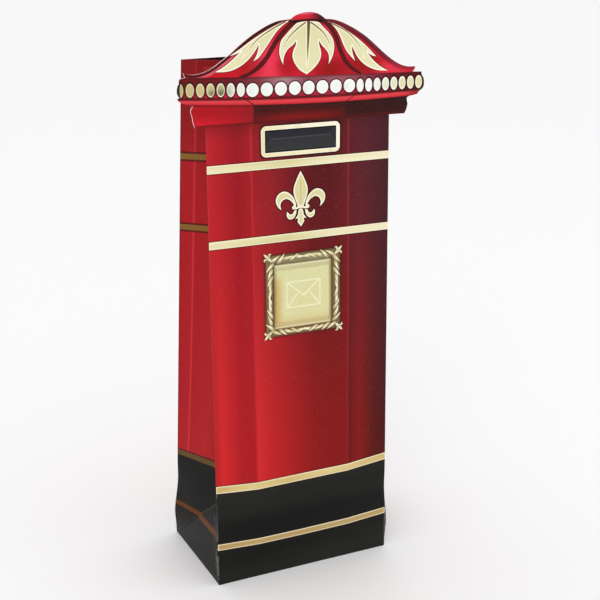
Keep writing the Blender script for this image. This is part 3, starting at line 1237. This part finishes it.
slot_ink = Finish("slot_picture_print", Roughness=0.4, Specular_IOR_Level=0.15)
u, _, v = slot_ink.place()
side_in = (u - 0.15).size()
slot_ink.colour = slot_ink.mix(v.above(296, 12), ink(52, 54, 56), ink(46, 46, 52))
sill = (v - 296.6 + (u * -0.008)).size() + side_in.above(20.4, 0.5) * 5
slot_ink.lay(v.below(296.6, 0.4) * side_in.below(20.6, 0.5) * 0.5, (60, 60, 60))
slot_ink.lay(sill.below(0.3, 0.3) * 0.55, (86, 86, 94))
lower_mitre = (24.6 - side_in - (v - 288.2) * 0.5).size() + v.above(296.6, 0.4) * 5
slot_ink.lay(lower_mitre.below(0.25, 0.3) * 0.45, (82, 82, 88))
upper_mitre = (24.6 - side_in - (302 - v) * 0.75).size() + v.below(296.6, 0.4) * 5
slot_ink.lay(upper_mitre.below(0.25, 0.3) * 0.35, (78, 78, 84))
slot_ink.lay(slot_ink.mark("rim").below(0.85, 0.3) * 0.95, (14, 13, 14))
grain = slot_ink.grain(160.0, 4.0)
slot_ink.lay((grain - 0.4) * 0.18, (96, 94, 92))
slot_ink.set(Base_Color=slot_ink.colour, Roughness=0.34 + grain * 0.14)
slot_ink.bump(grain, 0.15, 0.0002)
slot_picture = plate("slot_picture_print", [slot_inner], 1.0, 0.005, 0.04, (slot_ink,))
for piece, node, slot in (
    (slot_frame, "slot_frame", "gold_foil"), (slot_picture, "slot_picture", "black_film"),
):
    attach(piece, "front")
    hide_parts(node)


# ---- fleur-de-lis ----
# Stamped on the front sheet in the same pale gold foil. Cream rims stand round duller hollows, and the
# middle petal has a pressed midrib.
fleur_foil = Finish("fleur_foil", Metallic=0.35, Roughness=0.34)
u, _, v = fleur_foil.place()
rim = fleur_foil.mark("rim")
brush = fleur_foil.grain(90.0, 4.0)
fleur_foil.colour = fleur_foil.mix(v.above(258, 16), ink(216, 214, 170), ink(222, 212, 156))
fleur_foil.lay(rim.below(0.8, 0.6) * 0.95, (255, 247, 220))
midrib = (u - FLEUR_AXIS).size() + v.below(254, 1.0) * 5 + v.above(271, 4) * 5
fleur_foil.lay(midrib.below(0.3, 0.5) * 0.6, (172, 160, 104))
fleur_foil.lay(brush.above(0.6, 0.2) * 0.2, (190, 184, 128))
fleur_foil.set(Base_Color=fleur_foil.colour, Roughness=0.28 + brush * 0.18)
fleur_foil.bump(brush, 0.15, 0.0002)


def stamped_petal(spots, rim):
    edge = 0.09 * np.clip(rim / 0.3, 0, 1) - 0.05 * np.clip((rim - 0.6) / 0.5, 0, 1)
    return 0.05 + edge + 0.16 * np.clip(rim / 3, 0, 1)


petals = [
    plate(f"fleur_part_{i}", [shape], 0.45, 0.01, stamped_petal, (fleur_foil,))
    for i, shape in enumerate(fleur_shapes)
]


def joined(name, pieces):
    """Makes one piece of several that lie side by side."""
    whole = bmesh.new()
    for piece in pieces:
        whole.from_mesh(piece.data)
    whole.to_mesh(pieces[0].data)
    whole.free()
    for piece in pieces[1:]:
        bpy.data.objects.remove(piece)
    pieces[0].name = pieces[0].data.name = name
    return pieces[0]


fleur = joined("fleur_de_lis_foil", petals)
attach(fleur, "front")
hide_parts("fleur_de_lis")


# ---- plaque ----
# A picture of a framed plate: a brown-gold moulding, a pale stamped plate with ruled lines, rows of
# pearls and a plain envelope, and a leaf garland with a small lily on each corner.
PLAQUE_OUTER = rounded(-25.9, 168.3, 27.7, 222.6, 1.2)
PLAQUE_INNER = rounded(-19.9, 172.9, 21.1, 216.3, 0.6, 3)
moulding_ink = Finish("plaque_moulding_foil", Metallic=0.3, Roughness=0.4)
u, _, v = moulding_ink.place()
inward = ((u - 0.6).size() - 20.5).math("MAXIMUM", (u - 0.6).size() - 20.5, (v - 194.6).size() - 21.7)
moulding_ink.colour = moulding_ink.ramp(inward, [
    (0, (84, 66, 38)), (1.4, (120, 100, 62)), (3.2, (112, 92, 56)), (4.6, (134, 116, 76)),
    (6.4, (98, 78, 50)),
])
moulding_ink.lay((u - 0.8).size().below(19, 2) * v.between(214, 219.3, 1.6) * 0.75, (150, 148, 112))
moulding_ink.lay((u - 0.8).size().below(19, 2) * v.between(169.9, 175, 1.6) * 0.6, (150, 108, 58))
moulding_ink.lay(moulding_ink.mark("rim").below(0.5, 0.5) * 0.6, (60, 34, 22))
grime = moulding_ink.grain(80.0, 5.0, 0.6)
moulding_ink.lay(grime.above(0.55, 0.3) * 0.3, (78, 62, 34))
moulding_ink.set(Base_Color=moulding_ink.colour, Roughness=0.34 + grime * 0.16)
moulding_ink.bump(grime, 0.25, 0.0003)


def ovolo(spots, rim):
    return 0.06 + 0.30 * np.sin(np.clip(rim / 3.4, 0, 1) * math.pi / 2)


moulding = plate("plaque_moulding", [PLAQUE_OUTER, PLAQUE_INNER], 0.8, 0.01, ovolo, (moulding_ink,))

plate_foil = Finish("plaque_plate_foil", Metallic=0.25, Roughness=0.36)
u, _, v = plate_foil.place()
patch = plate_foil.grain(22.0, 3.0).above(0.5, 0.5)
plate_foil.colour = plate_foil.mix(patch, ink(224, 215, 160), ink(218, 219, 168))
left_gold = u.below(-15.4, 6.5) * v.below(207, 12)
plate_foil.lay(left_gold * 0.8, (206, 162, 82))
plate_foil.lay(v.below(178.5, 11) * 0.6, (210, 172, 96))
plate_foil.lay((21.1 - u).below(1.4, 2.2) * 0.6, (170, 148, 96))
plate_foil.lay(v.above(216.0, 0.8) * 0.8, (160, 156, 118))
plate_foil.lay(v.below(173.3, 0.8) * 0.7, (160, 118, 62))
plate_foil.lay(plate_foil.mark("rim").below(1.3, 2.4) * 0.72, (128, 108, 62))
rows = v.between(211.8, 214.4, 0.8) + v.between(174.9, 177.5, 0.8)
plate_foil.lay(rows * 0.4, (176, 160, 108))
raised = plate_foil.mark("raised")
plate_foil.lay(raised * 0.6, (255, 246, 214))
speckle = plate_foil.grain(1300.0, 2.0)
plate_foil.lay(speckle.above(0.56, 0.1) * 0.22, (182, 172, 110))
plate_foil.set(Base_Color=plate_foil.colour, Roughness=0.30 + speckle * 0.16)
plate_foil.bump(speckle + raised * 2, 0.3, 0.0002)

ENVELOPE = [(-11, 186.5), (12.6, 186.5), (12.6, 203.5), (-11, 203.5), (-11, 186.5)]
FLAP = [(-11, 203.5), (0.8, 193.8), (12.6, 203.5)]
CREASES = ([(-11, 186.5), (-2.6, 196.6)], [(12.6, 186.5), (4.2, 196.6)])


def raised_lines(spots):
    """1 on the ruled lines and the envelope's edges, and 0 off them."""
    nearest = np.min([distance(spots, line) for line in (ENVELOPE, FLAP, *CREASES)], axis=0) - 0.35
    rules = [[(-18.6, 215.1), (19.6, 215.1)], [(-18.6, 174.0), (19.6, 174.0)]]
    nearest = np.minimum(nearest, np.min([distance(spots, line) for line in rules], axis=0) - 0.25)
    return np.clip(1 - nearest / 0.4, 0, 1)


stamped_plate = plate(
    "plaque_plate_foil", [PLAQUE_INNER], 0.45, 0.01,
    lambda spots, rim: 0.08 + 0.22 * raised_lines(spots) + 0.05 * np.clip(rim / 3, 0, 1), (plate_foil,),
    {"raised": raised_lines},
)

t, places, wide, high, count, leaf_length, leaf_width, swing, foil = growth(
    "leaf_garland", Width="Float", Height="Float", Leaves="Int",
    Leaf_length="Float", Leaf_width="Float", Swing="Float",
)
garland_tree = t.tree
path = t.node("GeometryNodeCurvePrimitiveQuadrilateral", {"mode": "RECTANGLE"}, Width=wide, Height=high)
stems = t.node("GeometryNodeCurveToPoints", {"mode": "COUNT"}, Curve=path, Count=count)
tangent = Wire(t, stems.socket.node.outputs["Tangent"])
tx, ty, _ = tangent.parts()
number = t.node("GeometryNodeInputIndex", {})
per_side = count / 4
in_side = number.math("MODULO", number, per_side) / per_side
outward = in_side.above(0.49, 0.001)
odd = number.math("MODULO", number, 2.0) * 2 - 1
shake = t.node("FunctionNodeRandomValue", {"data_type": "FLOAT"}, Min=-0.1, Max=0.1, Seed=7, out=1)
turn = ty.math("ARCTAN2", ty, tx) + outward * math.pi + odd * swing + shake
leaf_ball = t.node("GeometryNodeMeshUVSphere", {}, 12, 8, 1.0)
x, y, z = t.node("GeometryNodeInputPosition", {}).parts()
narrowing = (1 - x * 0.75) * 0.6
curl = x * x * 0.22
shaped = t.node("ShaderNodeCombineXYZ", {}, x, y * narrowing + curl, z.at_least(-0.2) * (1 - y.size() * 0.3))
marked = t.node("GeometryNodeStoreNamedAttribute", {"data_type": "FLOAT", "domain": "POINT"},
                Geometry=leaf_ball, Name="along_leaf", Value=x)
marked = t.node("GeometryNodeStoreNamedAttribute", {"data_type": "FLOAT", "domain": "POINT"},
                Geometry=marked, Name="off_midrib", Value=y.size())
leaf = t.node("GeometryNodeSetPosition", {}, Geometry=marked, Position=shaped)
size = t.node("ShaderNodeCombineXYZ", {}, leaf_length / 2, leaf_width / 2, 0.42)
rotation = t.node("ShaderNodeCombineXYZ", {}, 0.0, 0.0, turn)
in_row = in_side.between(0.07, 0.94, 0.001)
clear_of_corners = t.node("FunctionNodeCompare", {"data_type": "FLOAT"}, in_row, 0.5)
placed = t.node("GeometryNodeInstanceOnPoints", {}, Points=stems, Selection=clear_of_corners, Instance=leaf,
                Rotation=rotation, Scale=size)
coat(t, placed, foil)

garland_foil = Finish("garland_foil", Metallic=0.35, Roughness=0.34)
u, _, v = garland_foil.place()
vine = garland_foil.grain(260.0, 4.0)
garland_foil.colour = garland_foil.mix(vine.above(0.52, 0.3), ink(250, 242, 208), ink(226, 216, 162))
garland_foil.lay(garland_foil.mark("along_leaf").below(-0.45, 0.9) * 0.75, (136, 116, 66))
garland_foil.lay(garland_foil.mark("off_midrib").above(0.72, 0.4) * 0.6, (164, 146, 92))
garland_foil.set(Base_Color=garland_foil.colour, Roughness=0.28 + vine * 0.16)
garland_foil.bump(vine, 0.25, 0.0003)
garland = grown(
    "plaque_garland", [(0, 0, 0)], garland_tree,
    {"Width": 47.8, "Height": 49.2, "Leaves": 44, "Leaf length": 8.2, "Leaf width": 3.2, "Swing": 0.17,
     "Foil": garland_foil.material},
    centre=(0.9, 195.4, 0.36),
)

lily_foil = Finish("lily_foil", Metallic=0.35, Roughness=0.32)
patina = lily_foil.grain(200.0, 4.0)
lily_foil.colour = lily_foil.mix(patina.above(0.5, 0.4), ink(252, 246, 218), ink(228, 220, 172))
lily_foil.lay(lily_foil.mark("rim").below(0.16, 0.25) * 0.5, (170, 154, 100))
lily_foil.set(Base_Color=lily_foil.colour, Roughness=0.26 + patina * 0.16)
lily_foil.bump(patina, 0.2, 0.0002)
LILY_PETAL = [(0, 6.6), (0.9, 4.6), (1.15, 3), (0.8, 1.4), (0.5, 0)]
LILY_WING = [
    (0.9, 0.3), (1.3, 1.9), (2.3, 3), (3.6, 2.9), (4.3, 1.9), (4.1, 0.7), (3.3, 1.5), (2.5, 1.5),
    (1.7, 0.5), (0.9, 0.3),
]
LILY_FOOT = [(0, 0.6), (0.8, 0.2), (1.3, -1.2), (0.8, -1.5), (0.5, -3), (0, -4.4)]
lilies = []
for u0, v0, turned in ((-23.6, 220.6, 45), (25.2, 220.2, -45), (25.6, 170.0, -135), (-23.6, 170.4, 135)):
    angle = math.radians(turned)
    spin = np.array(((math.cos(angle), math.sin(angle)), (-math.sin(angle), math.cos(angle))))
    for half in (LILY_PETAL, LILY_WING, LILY_FOOT):
        for shape in mirrored(half):
            shape = (shape - (FLEUR_AXIS, 0)) * 0.78 @ spin + (u0, v0)
            lilies.append(plate(f"lily_{len(lilies)}", [shape], 0.45, 0.30,
                                lambda spots, rim: 0.62 + 0.30 * np.clip(rim / 0.8, 0, 1), (lily_foil,)))
corner_lilies = joined("plaque_corner_lilies", lilies)

t, places, radius, foil = growth("pearl_rows", Pearl_radius="Float")
pearl_tree = t.tree
pearl = t.node("GeometryNodeMeshUVSphere", {}, 12, 6, radius)
points = t.node("GeometryNodeMeshToPoints", {}, places)
placed = t.node("GeometryNodeInstanceOnPoints", {}, Points=points, Instance=pearl, Scale=(1.0, 1.0, 0.5))
coat(t, placed, foil)
pearl_places = [(-17.4 + 36.0 * i / 17, height, 0.12) for height in (213.2, 176.2) for i in range(18)]
pearls = grown("plaque_pearls", pearl_places, pearl_tree, {"Pearl radius": 0.6, "Foil": lily_foil.material})
for piece, *nodes in (
    (moulding, "plaque_frame"), (stamped_plate, "plaque_plate"), (garland,), (corner_lilies,), (pearls,),
):
    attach(piece, "front")
    if nodes:
        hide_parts(*nodes)
for piece in (garland, pearls, disc_row):
    piece.data.polygons.foreach_set("use_smooth", [True] * len(piece.data.polygons))


# ---- bottom ----
# Four flaps folded over each other and glued make the flat bottom, printed black like the foot. A
# loose grey board lies on them inside.
bottom_print = Finish("black_bottom_print", Roughness=0.45)
scuff = bottom_print.grain(90.0, 6.0, 0.7)
bottom_print.colour = bottom_print.mix(scuff, ink(26, 25, 24), ink(50, 48, 45))
bottom_print.lay(scuff.above(0.68, 0.1) * 0.4, (120, 116, 110))
bottom_print.set(Base_Color=bottom_print.colour, Roughness=0.4 + scuff * 0.2)
bottom_print.bump(scuff, 0.3, 0.0003)
grey_board = Finish("grey_base_board", Roughness=0.9)
pulp = grey_board.grain(360.0, 5.0, 0.75)
flecks = grey_board.grain(1500.0, 1.0).above(0.68, 0.06)
grey_board.colour = grey_board.mix(pulp, ink(146, 142, 134), ink(178, 174, 165))
grey_board.lay(flecks * 0.5, (92, 88, 82))
grey_board.set(Base_Color=grey_board.colour)
grey_board.bump(pulp, 0.4, 0.0003)
for node, finish in (
    ("base_flap_front", bottom_print), ("base_flap_rear", bottom_print), ("base_tuck_left", bottom_print),
    ("base_tuck_right", bottom_print), ("base_board", grey_board),
):
    for place in bpy.data.objects[node].material_slots:
        place.material = finish.material


# ---- floor and light ----
floor_mesh = bpy.data.meshes.new("floor")
floor_mesh.from_pydata([(-40, -40, 0), (40, -40, 0), (40, 40, 0), (-40, 40, 0)], [], [(0, 1, 2, 3)])
floor_finish = Finish("pale_floor", Roughness=0.6, Base_Color=(0.93, 0.93, 0.93))
finished("floor", floor_mesh, floor_finish)
sky = bpy.data.worlds.new("studio")
sky.use_nodes = True
sky.node_tree.nodes["Background"].inputs["Color"].default_value = (1, 1, 1, 1)
sky.node_tree.nodes["Background"].inputs["Strength"].default_value = 1.0
bpy.context.scene.world = sky
bpy.context.scene.view_settings.view_transform = "Standard"


def softbox(name, place, target, size, power):
    light = bpy.data.lights.new(name, "AREA")
    light.shape, light.size, light.energy = "DISK", size, power
    lamp = bpy.data.objects.new(name, light)
    lamp.location = place
    lamp.rotation_mode = "QUATERNION"
    lamp.rotation_quaternion = (Vector(target) - Vector(place)).to_track_quat("-Z", "Y")
    bpy.context.collection.objects.link(lamp)


softbox("key_softbox", (-1.1, -1.6, 1.7), (0, 0, 0.2), 1.2, 6)
softbox("fill_softbox", (1.6, -0.9, 0.9), (0, 0, 0.2), 1.0, 1)
